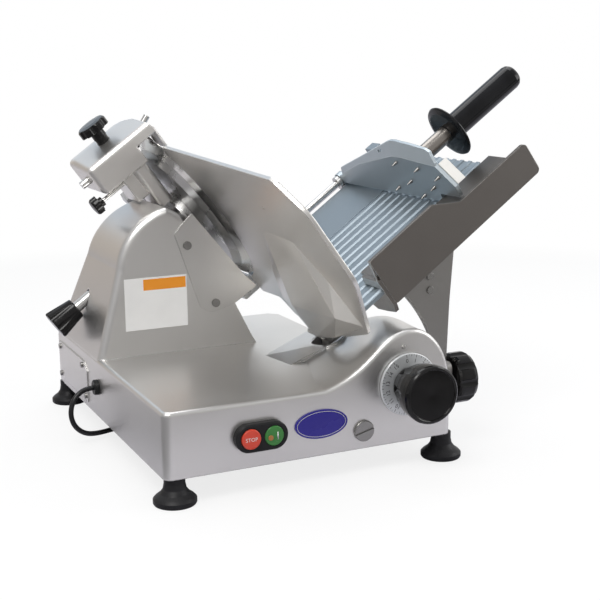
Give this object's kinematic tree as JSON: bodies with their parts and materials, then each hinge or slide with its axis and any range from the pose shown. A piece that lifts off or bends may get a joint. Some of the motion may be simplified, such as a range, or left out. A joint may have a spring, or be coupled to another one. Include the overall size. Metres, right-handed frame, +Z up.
{
  "type": "meat slicer",
  "caption": "Gravity-feed food slicer with an inclined sliding table, round motor-driven knife, dial-set gauge plate, food pusher, built-in sharpener and rubber feet.",
  "frame": {"origin": "centre of the bounding box of the machine without its free cord, at the level the feet stand on", "axes": "+Z up, operator and dial on the -Y side, the table and its handle on the +X side, the carriage travels along +Y"},
  "size_m": [0.5305, 0.6157, 0.428],
  "materials": {
    "cast_aluminium": "satin cast, brushed and clear anodised",
    "table_aluminium": "anodised, cool grey",
    "stainless": "brushed",
    "knife_steel": "ground, fine circular grain",
    "bright_steel": "polished",
    "black_knob": "moulded phenolic, semi gloss",
    "black_housing": "matte moulded",
    "foot_rubber": "matte",
    "cord_rubber": "satin sheath",
    "red_plastic": "gloss",
    "green_plastic": "gloss",
    "amber_plastic": "translucent look, gloss",
    "white_nylon": "smooth",
    "label_white": "laminated",
    "badge_blue": "gloss",
    "dial_silver": "satin with printed scale",
    "painted_motor": "semi gloss",
    "belt_rubber": "matte ribbed",
    "stone_grey": "abrasive"
  },
  "bodies": {
    "base": {"base_casting": "cast_aluminium", "bottom_cover": "stainless", "cover_screws": "bright_steel", "rubber_feet": "foot_rubber", "side_panel": "cast_aluminium", "front_label": "label_white", "oval_badge": "badge_blue", "plug_screw": "stainless", "index_mark": "bright_steel", "switch_housing": "black_housing", "gauge_guide": "cast_aluminium", "hub_bearings": "bright_steel", "motor_body": "painted_motor", "drive_belt": "belt_rubber", "knife_cover": "cast_aluminium", "ring_guard": "cast_aluminium", "slice_deflector": "stainless", "deflector_screws": "bright_steel", "carriage_rail": "bright_steel", "sharpener_body": "cast_aluminium", "sharpener_post": "cast_aluminium", "deburr_stone": "stone_grey", "cord_gland": "black_housing", "power_cord": "cord_rubber", "cord_coil": "cord_rubber", "plug": "cord_rubber"},
    "stop_button": {"stop_button": "red_plastic"},
    "start_button": {"start_button": "green_plastic", "start_lamp": "amber_plastic"},
    "thickness_dial": {"index_knob": "black_knob", "dial_ring": "dial_silver", "cam_shaft": "bright_steel"},
    "gauge": {"gauge_plate": "cast_aluminium", "gauge_arm": "cast_aluminium", "gauge_slide_rod": "bright_steel"},
    "knife": {"knife": "knife_steel", "knife_hub": "stainless"},
    "motor_rotor": {"motor_rotor": "stainless"},
    "cover_knob": {"cover_knob": "black_knob", "cover_tie_rod": "bright_steel"},
    "carriage": {"trolley": "cast_aluminium", "carriage_arm": "cast_aluminium", "arm_screws": "stainless", "food_table": "table_aluminium", "table_fence": "cast_aluminium", "pusher_rod": "bright_steel"},
    "arm_knob": {"arm_knob": "black_knob"},
    "pusher_slider": {"pusher_slider": "stainless"},
    "pusher": {"pusher_plate": "table_aluminium", "pusher_spikes": "bright_steel", "pusher_edge_guard": "white_nylon", "handle_tube": "stainless", "handle_guard": "black_knob", "handle_grip": "black_knob"},
    "sharpener_knob": {"sharpener_knob": "black_knob"},
    "clamp_knob": {"clamp_knob": "black_knob", "clamp_screw": "bright_steel"},
    "grind_pin": {"grind_pin": "bright_steel"},
    "grind_stone": {"grind_stone": "stone_grey"},
    "deburr_pin": {"deburr_pin": "bright_steel"}
  },
  "joints": [
    {"name": "carriage_slide", "type": "slide", "parent": "base", "child": "carriage", "axis": [0, 1, 0], "range_m": [0, 0.235]},
    {"name": "pusher_slide", "type": "slide", "parent": "carriage", "child": "pusher_slider", "axis": [0.809, 0, 0.5878], "range_m": [-0.155, 0.024]},
    {"name": "pusher_swing", "type": "hinge", "parent": "pusher_slider", "child": "pusher", "pos_m": [0.1488, 0.1404, 0.2803], "axis": [-0.809, 0, -0.5878], "range_deg": [0, 100]},
    {"name": "arm_knob_turn", "type": "hinge", "parent": "carriage", "child": "arm_knob", "pos_m": [0.1375, -0.1586, 0.0785], "axis": [1, 0, 0], "range_deg": [0, 360]},
    {"name": "index_dial", "type": "hinge", "parent": "base", "child": "thickness_dial", "pos_m": [0.0485, -0.2026, 0.0937], "axis": [0, -1, 0], "range_deg": [0, 330]},
    {"name": "gauge_slide", "type": "slide", "parent": "base", "child": "gauge", "axis": [-0.809, 0, -0.5878], "range_m": [0, 0.014]},
    {"name": "knife_spin", "type": "hinge", "parent": "base", "child": "knife", "pos_m": [-0.08009, 0.1274, 0.24998], "axis": [0.809, 0, 0.5878], "continuous": true},
    {"name": "motor_spin", "type": "hinge", "parent": "base", "child": "motor_rotor", "pos_m": [-0.12596, 0.1274, 0.11406], "axis": [0.809, 0, 0.5878], "continuous": true},
    {"name": "cover_knob_turn", "type": "hinge", "parent": "base", "child": "cover_knob", "pos_m": [-0.23946, 0.1274, 0.13418], "axis": [0.809, 0, 0.5878], "range_deg": [0, 360]},
    {"name": "stop_press", "type": "slide", "parent": "base", "child": "stop_button", "axis": [0, 1, 0], "range_m": [0, 0.0035], "stiffness_N_per_m": 400, "springref_m": -0.001},
    {"name": "start_press", "type": "slide", "parent": "base", "child": "start_button", "axis": [0, 1, 0], "range_m": [0, 0.0035], "stiffness_N_per_m": 400, "springref_m": -0.001},
    {"name": "sharpener_knob_turn", "type": "hinge", "parent": "base", "child": "sharpener_knob", "pos_m": [-0.19223, 0.1354, 0.36009], "axis": [-0.5878, 0, 0.809], "range_deg": [0, 360]},
    {"name": "clamp_knob_turn", "type": "hinge", "parent": "base", "child": "clamp_knob", "pos_m": [-0.19698, 0.1094, 0.27135], "axis": [0.809, 0, 0.5878], "range_deg": [0, 360]},
    {"name": "grind_push", "type": "slide", "parent": "base", "child": "grind_pin", "axis": [0.809, 0, 0.5878], "range_m": [0, 0.006], "stiffness_N_per_m": 300, "springref_m": -0.003},
    {"name": "grind_stone_spin", "type": "hinge", "parent": "grind_pin", "child": "grind_stone", "pos_m": [-0.14651, 0.1224, 0.3414], "axis": [0.809, 0, 0.5878], "continuous": true},
    {"name": "deburr_push", "type": "slide", "parent": "base", "child": "deburr_pin", "axis": [-0.5373, 0, -0.8434], "range_m": [0, 0.0015], "stiffness_N_per_m": 400, "springref_m": -0.002}
  ],
  "couplings": [
    {"joint": "gauge_slide", "follows": "index_dial", "m_per_rad": 0.0024307},
    {"joint": "motor_spin", "follows": "knife_spin", "ratio": 3}
  ]
}
